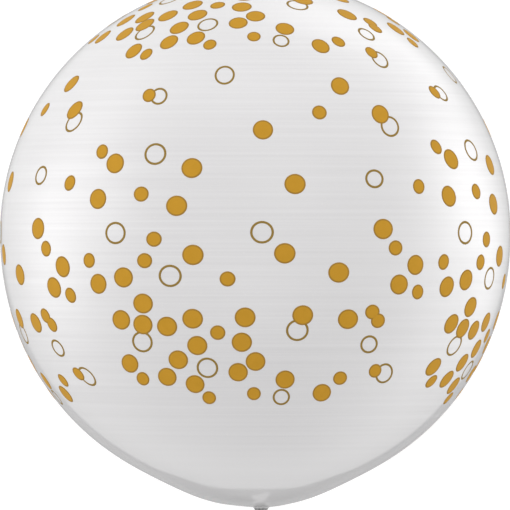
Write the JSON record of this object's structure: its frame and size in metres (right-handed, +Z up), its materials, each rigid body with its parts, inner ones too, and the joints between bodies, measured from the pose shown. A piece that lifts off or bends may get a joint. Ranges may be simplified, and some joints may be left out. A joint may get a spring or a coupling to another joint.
{
  "type": "confetti balloon",
  "caption": "Large round latex balloon, pearl white with a scatter of gold confetti dots and rings, tied at the neck and lying on its side.",
  "frame": {"origin": "centre of the flat spot that the balloon rests on, straight below the middle of its round body", "axes": "+Z up; the balloon's long axis runs along Y, with the crown towards +Y and the tied neck and tail towards -Y; X across"},
  "size_m": [0.8996, 1.0237, 0.8975],
  "materials": {
    "latex": "opaque pearl-white latex with a satin sheen, printed with satin gold ink",
    "gold_ink": "satin gold printing ink, a thin film on the latex"
  },
  "bodies": {
    "root": {"balloon": "latex"}
  },
  "joints": []
}
